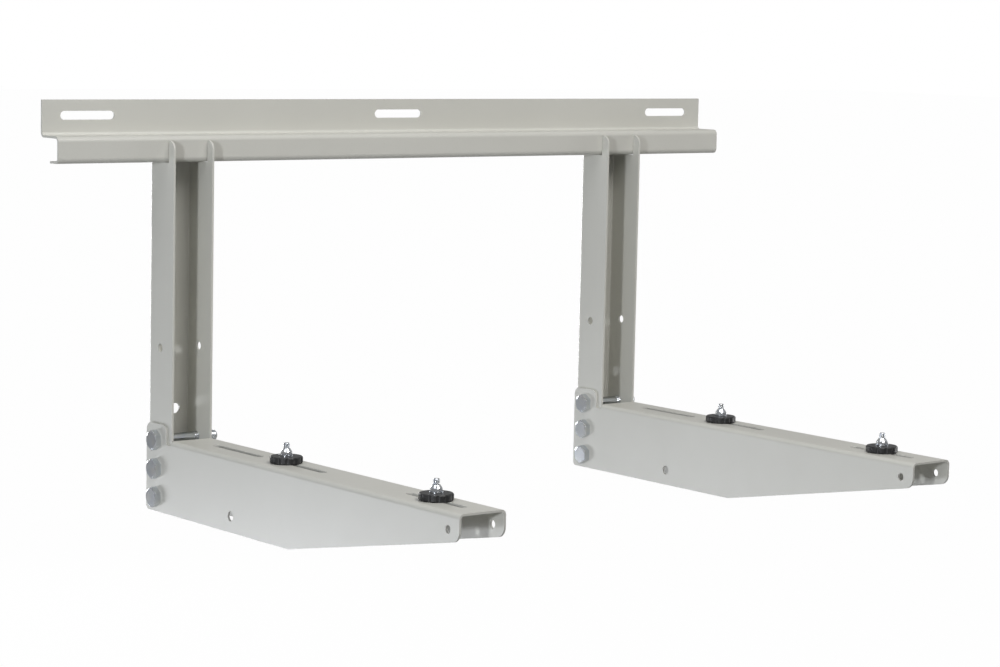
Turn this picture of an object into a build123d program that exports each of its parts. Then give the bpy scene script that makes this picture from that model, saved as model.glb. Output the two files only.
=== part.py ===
from build123d import *
import math
import os

# Air conditioner outdoor unit bracket: a folded rail for the wall, two channel uprights that hook
# on it, and two tapered arms that carry the unit's feet on four rubber pads. Millimetres.
# X runs along the rail, Y into the wall, whose face is y = 0, and Z up.
# The origin is the centre of the rail's middle slot, on the wall's face.
# A depth is a distance out from the wall, so it lies at y = -depth.

# Sheet metal
SHEET = 2.0
RAIL_BEND = 3.0
CHANNEL_BEND = 1.5
ARM_BEND = 2.5

# Wall rail
RAIL_LENGTH = 800.0
RAIL_HEIGHT = 57.5
RAIL_DEPTH = 33.0
WALL_FLANGE_HEIGHT = 34.5
LIP_DEPTH = 15.5
WALL_SLOT_LENGTH = 57.0
WALL_SLOT_WIDTH = 8.2
WALL_SLOT_INSET = 47.5
WALL_SLOT_DROP = 14.5

# Uprights
BRACKET_SPACING = 524.0
CHANNEL_WIDTH = 44.0
CHANNEL_DEPTH = 42.5
UPRIGHT_BOTTOM_RADIUS = 6.0
HOOK_GAP = 0.3
HOOK_TOP_GAP = 1.5
LIP_GAP = 0.3
PRONG_DROP = 4.5
PRONG_FLAT = 0.6
FINGER_BEND_GAP = 0.5
FLANGE_HOLE_DROP = 233.0
FLANGE_HOLE_DEPTH = 20.5
FLANGE_HOLE_DIAMETER = 8.0
ANCHOR_HOLE_DROP = 294.5
ANCHOR_HOLE_OFFSET = 6.0
ANCHOR_HOLE_DIAMETER = 10.0

# Arms
ARM_LENGTH = 498.0
ARM_TOP_DROP = 319.0
ARM_HEIGHT = 70.0
ARM_KINK = 245.0
ARM_KINK_RADIUS = 20.0
ARM_NOSE_HEIGHT = 23.0
ARM_NOSE_RADIUS = 10.0
ARM_HEEL_RADIUS = 4.0
ARM_TOP_GAP = 1.5
EAR_RISE = 14.0
EAR_DEPTH = 36.0
EAR_RADIUS = 8.0
ARM_SLOT_LENGTH = 82.0
ARM_SLOT_WIDTH = 7.0
FIRST_SLOT_DEPTH = 124.0
REAR_SLOT_DEPTH = 227.0
FRONT_SLOT_INSET = 65.0
LINK_HOLE_DEPTH = 150.0
LINK_HOLE_RISE = 15.0
LINK_HOLE_DIAMETER = 9.0
NOSE_HOLE_INSET = 15.5
NOSE_HOLE_DROP = 14.7
NOSE_HOLE_DIAMETER = 7.0

# Bolts through each upright and arm
FRAME_BOLT_DIAMETER = 10.0
FRAME_BOLT_FLATS = 17.0
FRAME_BOLT_HEAD = 6.4
FRAME_BOLT_LENGTH = 65.0
FRAME_NUT_HEIGHT = 8.0
FRAME_BOLT_DEPTH = 18.0
FRAME_BOLT_DROP = 1.7
FRAME_BOLT_PITCH = 27.3
FRAME_BOLT_NAMES = ("upper", "middle", "lower")
BOLT_CLEARANCE = 0.25
THREAD_CLEARANCE = 0.1

# Rubber feet for the unit, each clamped in an arm's slot by a bolt from below
REAR_FOOT_SHIFT = 22.0
PAD_DIAMETER = 30.0
PAD_HEIGHT = 6.5
PAD_CHAMFER = 1.0
PAD_FLUTES = 12
PAD_FLUTE_RADIUS = 3.0
PAD_FLUTE_DEPTH = 0.7
# The free end above the nut stands at the thread's outside diameter, the rest at its pitch diameter
FOOT_BOLT_DIAMETER = 6.0
FOOT_GRIPPED_DIAMETER = 5.35
FOOT_BOLT_FLATS = 10.0
FOOT_BOLT_HEAD = 4.0
FOOT_STUD_RISE = 18.5
FOOT_NUT_HEIGHT = 5.6
LOCK_CONE_HEIGHT = 3.6
LOCK_CONE_TOP_DIAMETER = 6.8
WASHER_DIAMETER = 12.0
WASHER_HEIGHT = 1.2
HEX_CHAMFER = math.radians(30)
HEX_FACE_SHARE = 0.95
TIP_CHAMFER_SHARE = 0.1

# Places that follow from the sizes above
wall_slot_pitch = RAIL_LENGTH / 2 - WALL_SLOT_INSET
front_slot_depth = ARM_LENGTH - FRONT_SLOT_INSET
foot_depths = {"rear": REAR_SLOT_DEPTH - REAR_FOOT_SHIFT, "front": front_slot_depth}
rail_top = WALL_SLOT_DROP
shelf_bottom = rail_top - WALL_FLANGE_HEIGHT
shelf_top = shelf_bottom + SHEET
rail_bottom = rail_top - RAIL_HEIGHT
lip_top = rail_bottom + SHEET
arm_top = rail_top - ARM_TOP_DROP
arm_bottom = arm_top - ARM_HEIGHT
bend_line = arm_top - SHEET - ARM_BEND
arm_width = CHANNEL_WIDTH + 2 * SHEET
arm_top_start = CHANNEL_DEPTH + ARM_TOP_GAP
upper_bolt_height = arm_top - FRAME_BOLT_DROP
bolt_heights = [upper_bolt_height - i * FRAME_BOLT_PITCH for i in range(len(FRAME_BOLT_NAMES))]

# A side view: its first axis is the depth out from the wall, its second the height
SIDE = Plane(origin=(0, 0, 0), x_dir=(0, -1, 0), z_dir=(-1, 0, 0))


def bent_sheet(points, inner_radius):
    """Section of a folded sheet along its middle line."""
    path = FilletPolyline(*points, radius=inner_radius + SHEET / 2)
    return trace(path, SHEET)


def outline(*corners):
    """Closed outline from corners of (x, y, rounding radius)."""
    points = [(x, y) for x, y, radius in corners]
    radii = [radius for x, y, radius in corners]
    return make_face(FilletPolyline(*points, radius=radii, close=True))


def cross_hole(depth, height, diameter, width):
    """Round hole along X through a piece of the given width."""
    circle = Pos(depth, height) * Circle(diameter / 2)
    return extrude(SIDE * circle, amount=width, both=True)


def wall_rail():
    middle = SHEET / 2
    section = bent_sheet(
        [
            (middle, rail_top),
            (middle, shelf_bottom + middle),
            (RAIL_DEPTH - middle, shelf_bottom + middle),
            (RAIL_DEPTH - middle, rail_bottom + middle),
            (RAIL_DEPTH - LIP_DEPTH, rail_bottom + middle),
        ],
        RAIL_BEND,
    )
    rail = extrude(SIDE * section, amount=RAIL_LENGTH / 2, both=True)
    slot = SlotOverall(WALL_SLOT_LENGTH, WALL_SLOT_WIDTH)
    for i in (-1, 0, 1):
        rail -= extrude(Plane.XZ * Pos(i * wall_slot_pitch, 0) * slot, amount=SHEET)
    return rail


def upright_outline():
    """Side view of an upright, with the slit that takes the rail's web and lip."""
    bottom = arm_bottom
    finger_top = shelf_bottom - HOOK_TOP_GAP
    finger_radius = RAIL_BEND + FINGER_BEND_GAP
    prong_top = shelf_top - PRONG_DROP
    slit_back = RAIL_DEPTH - SHEET - HOOK_GAP
    slit_front = RAIL_DEPTH + HOOK_GAP
    slit_end = RAIL_DEPTH - LIP_DEPTH - LIP_GAP
    tip_radius = CHANNEL_DEPTH - slit_front - PRONG_FLAT
    return outline(
        (0, bottom, 0),
        (CHANNEL_DEPTH, bottom, UPRIGHT_BOTTOM_RADIUS),
        (CHANNEL_DEPTH, prong_top, tip_radius),
        (slit_front, prong_top, 0),
        (slit_front, rail_bottom - LIP_GAP, 0),
        (slit_end, rail_bottom - LIP_GAP, 0),
        (slit_end, lip_top, 0),
        (slit_back, lip_top, finger_radius),
        (slit_back, finger_top, finger_radius),
        (0, finger_top, 0),
    )


def upright():
    side = (CHANNEL_WIDTH - SHEET) / 2
    section = bent_sheet(
        [
            (-side, -CHANNEL_DEPTH),
            (-side, -SHEET / 2),
            (side, -SHEET / 2),
            (side, -CHANNEL_DEPTH),
        ],
        CHANNEL_BEND,
    )
    channel = extrude(Pos(0, 0, arm_bottom) * section, amount=shelf_bottom - arm_bottom)
    body = channel & extrude(SIDE * upright_outline(), amount=CHANNEL_WIDTH, both=True)
    flange_hole_height = rail_top - FLANGE_HOLE_DROP
    body -= cross_hole(FLANGE_HOLE_DEPTH, flange_hole_height, FLANGE_HOLE_DIAMETER, CHANNEL_WIDTH)
    for height in bolt_heights:
        bore = FRAME_BOLT_DIAMETER + 2 * BOLT_CLEARANCE
        body -= cross_hole(FRAME_BOLT_DEPTH, height, bore, CHANNEL_WIDTH)
    anchor = Pos(ANCHOR_HOLE_OFFSET, rail_top - ANCHOR_HOLE_DROP) * Circle(ANCHOR_HOLE_DIAMETER / 2)
    return body - extrude(Plane.XZ * anchor, amount=SHEET)


def arm_outline():
    """Side view of an arm: ears at the wall, then a level top over a tapering plate."""
    ear_top = arm_top + EAR_RISE
    return outline(
        (0, arm_bottom, ARM_HEEL_RADIUS),
        (ARM_KINK, arm_bottom, ARM_KINK_RADIUS),
        (ARM_LENGTH, arm_top - ARM_NOSE_HEIGHT, ARM_NOSE_RADIUS),
        (ARM_LENGTH, arm_top, 0),
        (arm_top_start, arm_top, 0),
        (arm_top_start, bend_line, 0),
        (EAR_DEPTH, bend_line, 0),
        (EAR_DEPTH, ear_top, EAR_RADIUS),
        (0, ear_top, EAR_RADIUS),
    )


def arm():
    side = (arm_width - SHEET) / 2
    section = bent_sheet(
        [
            (-side, arm_bottom),
            (-side, arm_top - SHEET / 2),
            (side, arm_top - SHEET / 2),
            (side, arm_bottom),
        ],
        ARM_BEND,
    )
    front = Plane.XZ.offset(arm_top_start)
    body = extrude(front * section, amount=ARM_LENGTH - arm_top_start)
    cheek_height = ARM_HEIGHT + EAR_RISE
    for x in (-side, side):
        centre = (x, -arm_top_start / 2, arm_bottom + cheek_height / 2)
        body += Pos(*centre) * Box(SHEET, arm_top_start, cheek_height)
    body &= extrude(SIDE * arm_outline(), amount=arm_width, both=True)
    slot = Rot(0, 0, 90) * SlotOverall(ARM_SLOT_LENGTH, ARM_SLOT_WIDTH)
    for depth in (FIRST_SLOT_DEPTH, REAR_SLOT_DEPTH, front_slot_depth):
        body -= extrude(Pos(0, -depth, arm_top) * slot, amount=-SHEET)
    for height in bolt_heights:
        bore = FRAME_BOLT_DIAMETER + 2 * BOLT_CLEARANCE
        body -= cross_hole(FRAME_BOLT_DEPTH, height, bore, arm_width)
    body -= cross_hole(LINK_HOLE_DEPTH, arm_bottom + LINK_HOLE_RISE, LINK_HOLE_DIAMETER, arm_width)
    nose_depth = ARM_LENGTH - NOSE_HOLE_INSET
    body -= cross_hole(nose_depth, arm_top - NOSE_HOLE_DROP, NOSE_HOLE_DIAMETER, arm_width)
    return body


def hex_blank(flats, height, chamfered_ends):
    """Hexagonal prism on z = 0, its corners turned off at the top or at both ends."""
    corner = flats / math.sqrt(3)
    prism = extrude(RegularPolygon(corner, 6), amount=height)
    turned = Pos(0, 0, height / 2) * Cylinder(corner, height)
    rims = turned.edges().filter_by(GeomType.CIRCLE).sort_by(Axis.Z)[-chamfered_ends:]
    run = corner - flats * HEX_FACE_SHARE / 2
    return prism & chamfer(rims, length=run * math.tan(HEX_CHAMFER), length2=run)


def hex_bolt(flats, head, steps):
    """Bolt whose head ends at z = 0, with a shank of (diameter, length) steps down the -Z axis."""
    bolt = hex_blank(flats, head, 1)
    end = 0
    for diameter, length in steps:
        end -= length
        bolt += Pos(0, 0, end + length / 2) * Cylinder(diameter / 2, length)
    tip = bolt.edges().filter_by(GeomType.CIRCLE).sort_by(Axis.Z)[0]
    return chamfer(tip, diameter * TIP_CHAMFER_SHARE)


def hex_nut(shank_diameter, flats, height):
    """Nut on z = 0, bored to clear the length of shank that it sits on."""
    bore = Cylinder(shank_diameter / 2 + THREAD_CLEARANCE, 2 * height)
    return hex_blank(flats, height, 2) - bore


def lock_nut(shank_diameter, flats, height):
    """All-metal lock nut on z = 0: a hexagon below, drawn in to a cone that grips the thread."""
    corner = flats / math.sqrt(3)
    hex_height = height - LOCK_CONE_HEIGHT
    base = Pos(0, 0, hex_height / 2) * Cylinder(corner, hex_height)
    cone = Cone(corner, LOCK_CONE_TOP_DIAMETER / 2, LOCK_CONE_HEIGHT)
    turned = base + Pos(0, 0, hex_height + LOCK_CONE_HEIGHT / 2) * cone
    return hex_nut(shank_diameter, flats, height) & turned


def washer():
    ring = Circle(WASHER_DIAMETER / 2) - Circle(FOOT_BOLT_DIAMETER / 2 + BOLT_CLEARANCE)
    return extrude(ring, amount=WASHER_HEIGHT)


def rubber_pad():
    """Round pad with chamfered rims and shallow grip flutes."""
    radius = PAD_DIAMETER / 2
    disc = Pos(0, 0, PAD_HEIGHT / 2) * Cylinder(radius, PAD_HEIGHT)
    pad = chamfer(disc.edges().filter_by(GeomType.CIRCLE), PAD_CHAMFER)
    flute_axis = radius + PAD_FLUTE_RADIUS - PAD_FLUTE_DEPTH
    flute = Pos(0, 0, PAD_HEIGHT / 2) * Cylinder(PAD_FLUTE_RADIUS, PAD_HEIGHT)
    for place in PolarLocations(flute_axis, PAD_FLUTES):
        pad -= place * flute
    return pad - Cylinder(FOOT_BOLT_DIAMETER / 2 + BOLT_CLEARANCE, 2 * PAD_HEIGHT)


def frame_fasteners(x):
    """Three bolts through an upright and its arm, heads to the left and nuts to the right."""
    pieces = {}
    turned_left = Plane(origin=(0, 0, 0), x_dir=(0, 0, 1), z_dir=(-1, 0, 0)).location
    turned_right = Plane(origin=(0, 0, 0), x_dir=(0, 0, 1), z_dir=(1, 0, 0)).location
    shank = [(FRAME_BOLT_DIAMETER, FRAME_BOLT_LENGTH)]
    bolt = hex_bolt(FRAME_BOLT_FLATS, FRAME_BOLT_HEAD, shank)
    nut = hex_nut(FRAME_BOLT_DIAMETER, FRAME_BOLT_FLATS, FRAME_NUT_HEIGHT)
    for name, height in zip(FRAME_BOLT_NAMES, bolt_heights):
        pieces[f"{name}_bolt"] = Pos(x - arm_width / 2, -FRAME_BOLT_DEPTH, height) * turned_left * bolt
        pieces[f"{name}_nut"] = Pos(x + arm_width / 2, -FRAME_BOLT_DEPTH, height) * turned_right * nut
    return pieces


def foot(x, depth):
    """Rubber pad on the arm's top, clamped in its slot between two washers, a bolt and a nut."""
    head_seat = arm_top - SHEET - WASHER_HEIGHT
    pad_top = arm_top + PAD_HEIGHT
    nut_top = pad_top + WASHER_HEIGHT + FOOT_NUT_HEIGHT
    stud_tip = arm_top + FOOT_STUD_RISE
    gripped = (FOOT_GRIPPED_DIAMETER, nut_top - head_seat)
    free_end = (FOOT_BOLT_DIAMETER, stud_tip - nut_top)
    bolt = Rot(180, 0, 0) * hex_bolt(FOOT_BOLT_FLATS, FOOT_BOLT_HEAD, [gripped, free_end])
    nut = lock_nut(FOOT_GRIPPED_DIAMETER, FOOT_BOLT_FLATS, FOOT_NUT_HEIGHT)
    return {
        "foot_bolt": Pos(x, -depth, head_seat) * bolt,
        "lower_washer": Pos(x, -depth, head_seat) * washer(),
        "pad": Pos(x, -depth, arm_top) * rubber_pad(),
        "upper_washer": Pos(x, -depth, pad_top) * washer(),
        "foot_nut": Pos(x, -depth, pad_top + WASHER_HEIGHT) * nut,
    }


def all_pieces():
    pieces = {"wall_rail": wall_rail()}
    for side, x in (("left", -BRACKET_SPACING / 2), ("right", BRACKET_SPACING / 2)):
        pieces[f"{side}_upright"] = Pos(x, 0, 0) * upright()
        pieces[f"{side}_arm"] = Pos(x, 0, 0) * arm()
        for name, piece in frame_fasteners(x).items():
            pieces[f"{side}_{name}"] = piece
        for place, depth in foot_depths.items():
            for name, piece in foot(x, depth).items():
                pieces[f"{side}_{place}_{name}"] = piece
    return pieces


os.makedirs("parts", exist_ok=True)
for name, piece in all_pieces().items():
    export_step(piece, f"parts/{name}.step")
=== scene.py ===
import math

import bpy
from mathutils import Matrix, Vector

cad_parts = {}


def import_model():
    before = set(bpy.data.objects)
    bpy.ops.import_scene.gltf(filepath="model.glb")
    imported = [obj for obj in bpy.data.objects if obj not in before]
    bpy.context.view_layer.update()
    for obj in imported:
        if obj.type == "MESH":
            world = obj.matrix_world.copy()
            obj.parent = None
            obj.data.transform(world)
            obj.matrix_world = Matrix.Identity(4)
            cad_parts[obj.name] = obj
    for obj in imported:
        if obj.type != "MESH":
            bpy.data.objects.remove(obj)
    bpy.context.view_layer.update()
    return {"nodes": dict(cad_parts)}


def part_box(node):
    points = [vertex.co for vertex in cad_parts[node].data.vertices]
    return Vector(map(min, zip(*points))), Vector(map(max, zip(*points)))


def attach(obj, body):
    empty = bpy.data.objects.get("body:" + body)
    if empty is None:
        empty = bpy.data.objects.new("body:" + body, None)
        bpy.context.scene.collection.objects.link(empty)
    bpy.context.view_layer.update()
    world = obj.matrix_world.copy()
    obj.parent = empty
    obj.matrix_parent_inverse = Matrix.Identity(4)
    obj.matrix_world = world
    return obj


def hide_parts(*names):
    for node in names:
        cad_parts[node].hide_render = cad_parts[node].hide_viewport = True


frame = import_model()
nodes = frame["nodes"]

MM = 0.001
X, Z = 0, 2
SIDES = ("left", "right")
PLACES = ("rear", "front")
LEVELS = ("upper", "middle", "lower")

# Colours
WHITE = (1, 1, 1)
COAT_DARKER = (0.580, 0.578, 0.530)
COAT_PALER = (0.610, 0.608, 0.560)
COAT_SPECK = (0.51, 0.508, 0.462)
# Paler coat on the sharp edges: partly a painted edge highlight, partly edge wear
COAT_EDGE_HIGHLIGHT_AND_WEAR = (0.665, 0.663, 0.62)
ZINC_BLUISH = (0.66, 0.70, 0.76)
ZINC_NEUTRAL = (0.74, 0.75, 0.75)
ZINC_DULL = (0.52, 0.54, 0.57)
RUBBER_CLEAN = (0.009, 0.009, 0.010)
RUBBER_DUSTY = (0.028, 0.028, 0.027)

# Bolts: the head's width across flats and height, the thread's outside diameter and pitch
M6 = ((10 * MM, 4 * MM), (6.0 * MM, 1.0 * MM))
M10 = ((17 * MM, 6.4 * MM), (10.0 * MM, 1.5 * MM))
LONGEST_THREAD = 26 * MM
SHORTEST_PLAIN_SHANK = 2 * MM

# Shares of the pitch: the thread's depth, and its flat at the crest and at the root
THREAD_DEPTH = 0.613
THREAD_FLAT = 0.125

# The radius of the head's end face over the flats, and the tip's chamfer over the diameter
HEAD_FACE = 0.475
HEAD_CHAMFER = math.radians(30)
TIP_CHAMFER = 0.1

# Mesh of a bolt: rings to a turn of the thread, points to a ring
RINGS_PER_TURN = 8
RING_POINTS = 48
RING_ANGLES = [math.tau * i / RING_POINTS for i in range(RING_POINTS)]
SHARP_ANGLE = math.radians(28)

# Floor and world. TO_CAMERA and IN_REFLECTIONS are the shares of white that such rays meet.
FLOOR_SIZE = 60
FLOOR_HEIGHT = -0.95
FLOOR_GREY = (0.5, 0.5, 0.5)
FLOOR_TO_CAMERA = 0.99
FLOOR_IN_REFLECTIONS = 0.2
WORLD_FILL = 0.07
WORLD_TO_CAMERA = 1
WORLD_IN_REFLECTIONS = 0.35

# Lamps: name, place, width and height in metres, power in watts, colour.
# A small key from the left, a low strip behind on the left, and soft light all round.
OBJECT_MIDDLE = Vector((0, -0.2, -0.2))
COOL = (0.955, 0.98, 1.03)
WARM = (1.03, 1.005, 0.985)
LAMPS = (
    ("key", (-2.75, -1.6, 0.2), 0.2, 0.2, 32, COOL),
    ("low_strip", (-1.2, 1.4, -0.87), 0.9, 0.12, 9.3, COOL),
    ("left_top", (-1.11, -0.5, 1.44), 1, 1, 7, COOL),
    ("front_top", (0.1, -1.34, 1.44), 1, 1, 22.5, WARM),
    ("overhead", (0, -0.34, 1.8), 1, 1, 4, WHITE),
    ("right", (2.49, -0.42, -0.2), 0.8, 0.8, 18, WHITE),
    ("back", (0.35, 2.6, -0.2), 0.8, 0.8, 30, WHITE),
)

# Camera fitted to the photograph, in degrees and millimetres: azimuth, elevation, roll
CAMERA_ANGLES = (-37.655, 6.386, 1.199)
CAMERA_TARGET = (58.76, -100, -214.5)
CAMERA_DISTANCE = 2822.9
FOCAL_LENGTH = 102.235
SENSOR_WIDTH = 36


# Materials. Object coordinates are metres, so a noise scale of 800 has features near 1 mm.


def shader(name):
    """New material with its tree and its shader."""
    material = bpy.data.materials.new(name)
    material.use_nodes = True
    tree = material.node_tree
    return material, tree, tree.nodes["Principled BSDF"]


def noise(tree, scale, detail=4.0, stretch=(1, 1, 1)):
    """Noise over the object's own coordinates, drawn out along some axes."""
    place = tree.nodes.new("ShaderNodeTexCoord")
    mapping = tree.nodes.new("ShaderNodeMapping")
    mapping.inputs["Scale"].default_value = stretch
    texture = tree.nodes.new("ShaderNodeTexNoise")
    texture.inputs["Scale"].default_value = scale
    texture.inputs["Detail"].default_value = detail
    tree.links.new(place.outputs["Object"], mapping.inputs["Vector"])
    tree.links.new(mapping.outputs["Vector"], texture.inputs["Vector"])
    return texture.outputs["Fac"]


def spread(tree, value, low=0, high=1, start=0.3, end=0.7):
    """Value between start and end spread out to low and high."""
    ramp = tree.nodes.new("ShaderNodeMapRange")
    ramp.inputs["From Min"].default_value = start
    ramp.inputs["From Max"].default_value = end
    ramp.inputs["To Min"].default_value = low
    ramp.inputs["To Max"].default_value = high
    tree.links.new(value, ramp.inputs["Value"])
    return ramp.outputs["Result"]


def blend_colours(tree, factor, first, second):
    """Colour between two, each a colour or another node's output."""
    mix = tree.nodes.new("ShaderNodeMix")
    mix.data_type = "RGBA"
    tree.links.new(factor, mix.inputs["Factor"])
    for socket, colour in ((mix.inputs[6], first), (mix.inputs[7], second)):
        if isinstance(colour, tuple):
            socket.default_value = (*colour, 1)
        else:
            tree.links.new(colour, socket)
    return mix.outputs[2]


def edge_mask(tree, radius):
    """1 near sharp edges and 0 on open faces."""
    rounded = tree.nodes.new("ShaderNodeBevel")
    rounded.inputs["Radius"].default_value = radius
    flat = tree.nodes.new("ShaderNodeNewGeometry")
    dot = tree.nodes.new("ShaderNodeVectorMath")
    dot.operation = "DOT_PRODUCT"
    tree.links.new(rounded.outputs["Normal"], dot.inputs[0])
    tree.links.new(flat.outputs["True Normal"], dot.inputs[1])
    return spread(tree, dot.outputs["Value"], low=1, high=0, start=0.8, end=0.99)


def relief(tree, height, strength, distance, edge_radius):
    """Bump over a normal that rounds the sharp edges."""
    rounded = tree.nodes.new("ShaderNodeBevel")
    rounded.inputs["Radius"].default_value = edge_radius
    bump = tree.nodes.new("ShaderNodeBump")
    bump.inputs["Strength"].default_value = strength
    bump.inputs["Distance"].default_value = distance
    tree.links.new(height, bump.inputs["Height"])
    tree.links.new(rounded.outputs["Normal"], bump.inputs["Normal"])
    return bump.outputs["Normal"]


def connect(tree, bsdf, colour, roughness, normal):
    tree.links.new(colour, bsdf.inputs["Base Color"])
    tree.links.new(roughness, bsdf.inputs["Roughness"])
    tree.links.new(normal, bsdf.inputs["Normal"])


def powder_coat():
    """Satin grey powder coat: orange peel, faint clouding, specks, and paler on the sharp edges,
    partly a painted edge highlight and partly edge wear.
    """
    material, tree, bsdf = shader("grey_powder_coat")
    clouds = spread(tree, noise(tree, scale=7))
    tone = blend_colours(tree, clouds, COAT_DARKER, COAT_PALER)
    specks = spread(tree, noise(tree, scale=1500, detail=2), start=0.66, end=0.74)
    tone = blend_colours(tree, specks, tone, COAT_SPECK)
    # paler on the sharp edges: partly a painted highlight along the edges, partly edge wear
    tone = blend_colours(tree, edge_mask(tree, radius=0.5 * MM), tone, COAT_EDGE_HIGHLIGHT_AND_WEAR)
    roughness = spread(tree, noise(tree, scale=90), low=0.34, high=0.38)
    bumps = noise(tree, scale=620, detail=3)
    orange_peel = relief(tree, bumps, strength=0.16, distance=0.15 * MM, edge_radius=0.3 * MM)
    connect(tree, bsdf, tone, roughness, orange_peel)
    return material


def zinc_plate():
    """Bright zinc: bluish and neutral patches, drawn scratches, duller spots."""
    material, tree, bsdf = shader("bright_zinc")
    bsdf.inputs["Metallic"].default_value = 1
    patches = spread(tree, noise(tree, scale=110, detail=3))
    tone = blend_colours(tree, patches, ZINC_BLUISH, ZINC_NEUTRAL)
    dull_spots = spread(tree, noise(tree, scale=500, detail=5), start=0.66, end=0.82)
    tone = blend_colours(tree, dull_spots, tone, ZINC_DULL)
    roughness = spread(tree, noise(tree, scale=700, detail=3), low=0.11, high=0.17)
    lines = noise(tree, scale=900, detail=6, stretch=(1, 0.15, 1))
    scratches = relief(tree, lines, strength=0.08, distance=0.04 * MM, edge_radius=0.25 * MM)
    connect(tree, bsdf, tone, roughness, scratches)
    return material


def black_rubber():
    """Moulded rubber: fine grain, with dust that greys it a little."""
    material, tree, bsdf = shader("moulded_rubber")
    dust = spread(tree, noise(tree, scale=260, detail=6), start=0.45, end=0.8)
    tone = blend_colours(tree, dust, RUBBER_CLEAN, RUBBER_DUSTY)
    roughness = spread(tree, noise(tree, scale=500), low=0.34, high=0.52)
    bumps = noise(tree, scale=1800, detail=3)
    grain = relief(tree, bumps, strength=0.3, distance=0.08 * MM, edge_radius=0.3 * MM)
    connect(tree, bsdf, tone, roughness, grain)
    return material


def dress(thing, material):
    for slot in thing.material_slots:
        slot.material = material
    if not thing.material_slots:
        thing.data.materials.append(material)


# Bolts with real threads. A ring is a list of a radius and a height for each of the ring angles.


def thread_radius(z, turn, outside, pitch):
    """Radius of a thread at a height and a share of a turn, flat at the crest and the root."""
    phase = (z / pitch - turn) % 1
    from_crest = abs(phase - 0.5) * 2
    cut = (from_crest - THREAD_FLAT) / (1 - 2 * THREAD_FLAT)
    return outside / 2 - THREAD_DEPTH * pitch * min(max(cut, 0), 1)


def head_rings(flats, height):
    """Top, rim and seat of a hexagonal head with its corners turned off."""
    face_radius = flats * HEAD_FACE
    side = math.pi / 3
    hexagon = [flats / 2 / math.cos(angle % side - side / 2) for angle in RING_ANGLES]
    top = [(face_radius, height)] * RING_POINTS
    rim = [(r, height - (r - face_radius) * math.tan(HEAD_CHAMFER)) for r in hexagon]
    seat = [(r, 0) for r in hexagon]
    return [top, rim, seat]


def shank_rings(outside, pitch, length, threaded):
    """Shank below z = 0, threaded over its last stretch and chamfered at the tip."""
    chamfer = outside * TIP_CHAMFER
    start = length - threaded
    thread_end = threaded - chamfer
    # depth below the seat, and how far the thread has come in there
    stations = [(0, 0.0), (start, 0.0)]
    count = round(thread_end / (pitch / RINGS_PER_TURN))
    for i in range(1, count + 1):
        stations.append((start + thread_end * i / count, min(i / RINGS_PER_TURN, 1.0)))
    stations += [(length - chamfer / 2, 1.0), (length, 1.0)]
    rings = []
    for depth, come_in in stations:
        chamfered = outside / 2 - max(depth - (length - chamfer), 0)
        ring = []
        for angle in RING_ANGLES:
            thread = thread_radius(depth, angle / math.tau, outside, pitch)
            radius = outside / 2 * (1 - come_in) + thread * come_in
            ring.append((min(radius, chamfered), -depth))
        rings.append(ring)
    return rings


def stacked(rings):
    """One closed surface through rings that run from the top down."""
    points = [
        (radius * math.cos(angle), radius * math.sin(angle), z)
        for ring in rings
        for (radius, z), angle in zip(ring, RING_ANGLES)
    ]
    top = range(RING_POINTS)
    tip = range(len(points) - RING_POINTS, len(points))
    faces = [tuple(top), tuple(reversed(tip))]
    for first in range(0, len(points) - RING_POINTS, RING_POINTS):
        for i in range(RING_POINTS):
            a, b = first + i, first + (i + 1) % RING_POINTS
            faces.append((a, a + RING_POINTS, b + RING_POINTS, b))
    return points, faces


def threaded_bolt(name, node, along, size, material):
    """Threaded bolt in place of a plain one along an axis, its head at the low end."""
    head, thread = size
    low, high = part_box(node)
    seat = (low + high) / 2
    seat[along] = low[along] + head[1]
    length = high[along] - seat[along]
    threaded = min(LONGEST_THREAD, length - SHORTEST_PLAIN_SHANK)
    points, faces = stacked(head_rings(*head) + shank_rings(*thread, length, threaded))
    mesh = bpy.data.meshes.new(name)
    mesh.from_pydata(points, [], faces)
    out_of_head = Vector()
    out_of_head[along] = -1
    # a corner of the head points up or down when the bolt lies level
    turn = out_of_head.to_track_quat("Z", "X").to_matrix().to_4x4()
    mesh.transform(Matrix.Translation(seat) @ turn)
    mesh.validate()
    mesh.update()
    bolt = bpy.data.objects.new(name, mesh)
    bpy.context.scene.collection.objects.link(bolt)
    mesh.polygons.foreach_set("use_smooth", [True] * len(mesh.polygons))
    mesh.set_sharp_from_angle(angle=SHARP_ANGLE)
    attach(bolt, "root")
    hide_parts(node)
    dress(bolt, material)


def frame_bolts(material):
    for side in SIDES:
        for level in LEVELS:
            name = f"{side}_{level}_threaded_bolt"
            threaded_bolt(name, f"{side}_{level}_bolt", X, M10, material)


def foot_bolts(material):
    for side in SIDES:
        for place in PLACES:
            name = f"{side}_{place}_threaded_foot_bolt"
            threaded_bolt(name, f"{side}_{place}_foot_bolt", Z, M6, material)


# Studio


def white_share(tree, to_camera, in_reflections):
    """Share of white that a ray meets, which depends on where it comes from."""
    path = tree.nodes.new("ShaderNodeLightPath")
    camera_part = tree.nodes.new("ShaderNodeMath")
    camera_part.operation = "MULTIPLY"
    camera_part.inputs[1].default_value = to_camera
    tree.links.new(path.outputs["Is Camera Ray"], camera_part.inputs[0])
    share = tree.nodes.new("ShaderNodeMath")
    share.operation = "MULTIPLY_ADD"
    share.inputs[1].default_value = in_reflections
    tree.links.new(path.outputs["Is Glossy Ray"], share.inputs[0])
    tree.links.new(camera_part.outputs[0], share.inputs[2])
    return share.outputs[0]


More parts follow.
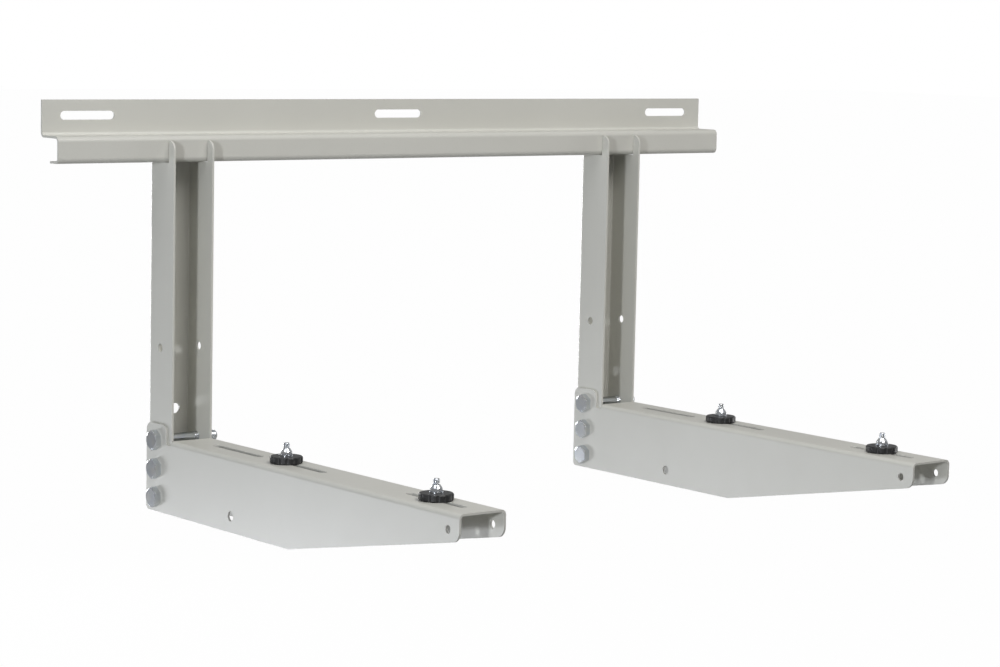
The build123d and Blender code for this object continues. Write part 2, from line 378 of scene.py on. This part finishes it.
def mix_shaders(tree, factor, first, second, output):
    """Blend of two shaders, linked to the output node's surface."""
    mix = tree.nodes.new("ShaderNodeMixShader")
    tree.links.new(factor, mix.inputs["Fac"])
    tree.links.new(first.outputs[0], mix.inputs[1])
    tree.links.new(second.outputs[0], mix.inputs[2])
    tree.links.new(mix.outputs[0], tree.nodes[output].inputs["Surface"])


def floor_material():
    """White to the camera, partly white in reflections, and plain matt paper for the light."""
    material, tree, bsdf = shader("pale_floor")
    bsdf.inputs["Roughness"].default_value = 0.9
    bsdf.inputs["Specular IOR Level"].default_value = 0.1
    bsdf.inputs["Base Color"].default_value = (*FLOOR_GREY, 1)
    glow = tree.nodes.new("ShaderNodeEmission")
    share = white_share(tree, FLOOR_TO_CAMERA, FLOOR_IN_REFLECTIONS)
    mix_shaders(tree, share, bsdf, glow, "Material Output")
    return material


def floor():
    bpy.ops.mesh.primitive_plane_add(size=FLOOR_SIZE, location=(0, 0, FLOOR_HEIGHT))
    plane = bpy.context.object
    plane.name = "floor"
    plane.data.materials.append(floor_material())


def world():
    """Even fill light, white to the camera and partly white in reflections."""
    surroundings = bpy.data.worlds.new("studio")
    bpy.context.scene.world = surroundings
    surroundings.use_nodes = True
    tree = surroundings.node_tree
    fill = tree.nodes["Background"]
    fill.inputs["Color"].default_value = (*WHITE, 1)
    fill.inputs["Strength"].default_value = WORLD_FILL
    white = tree.nodes.new("ShaderNodeBackground")
    white.inputs["Color"].default_value = (*WHITE, 1)
    white.inputs["Strength"].default_value = 1
    share = white_share(tree, WORLD_TO_CAMERA, WORLD_IN_REFLECTIONS)
    mix_shaders(tree, share, fill, white, "World Output")


def softbox(name, place, width, height, power, colour):
    """Rectangular lamp aimed at the object's middle."""
    lamp = bpy.data.lights.new(name, "AREA")
    lamp.shape = "RECTANGLE"
    lamp.size = width
    lamp.size_y = height
    lamp.energy = power
    lamp.color = colour
    thing = bpy.data.objects.new(name, lamp)
    thing.location = place
    thing.rotation_euler = (OBJECT_MIDDLE - Vector(place)).to_track_quat("-Z", "Y").to_euler()
    bpy.context.scene.collection.objects.link(thing)


def camera():
    """Camera of the photograph: 1000 x 667, seen from the left and slightly above."""
    azimuth, elevation, roll = (math.radians(angle) for angle in CAMERA_ANGLES)
    target = Vector(CAMERA_TARGET) * MM
    back = Vector((math.sin(azimuth), -math.cos(azimuth), math.tan(elevation))).normalized()
    forward = -back
    right = forward.cross(Vector((0, 0, 1))).normalized()
    up = right.cross(forward)
    rolled_right = math.cos(roll) * right + math.sin(roll) * up
    rolled_up = math.cos(roll) * up - math.sin(roll) * right
    lens = bpy.data.cameras.new("photo_camera")
    lens.sensor_width = SENSOR_WIDTH
    lens.lens = FOCAL_LENGTH
    lens.clip_end = 100
    thing = bpy.data.objects.new("photo_camera", lens)
    turn = Matrix((rolled_right, rolled_up, back)).transposed().to_4x4()
    thing.matrix_world = Matrix.Translation(target + back * CAMERA_DISTANCE * MM) @ turn
    bpy.context.scene.collection.objects.link(thing)
    bpy.context.scene.camera = thing


coat, zinc, rubber = powder_coat(), zinc_plate(), black_rubber()
for name, thing in nodes.items():
    if name.endswith("_pad"):
        dress(thing, rubber)
    elif name.endswith(("_bolt", "_nut", "_washer")):
        dress(thing, zinc)
    else:
        dress(thing, coat)
frame_bolts(zinc)
foot_bolts(zinc)

floor()
world()
for lamp in LAMPS:
    softbox(*lamp)
camera()
bpy.context.scene.view_settings.view_transform = "Standard"
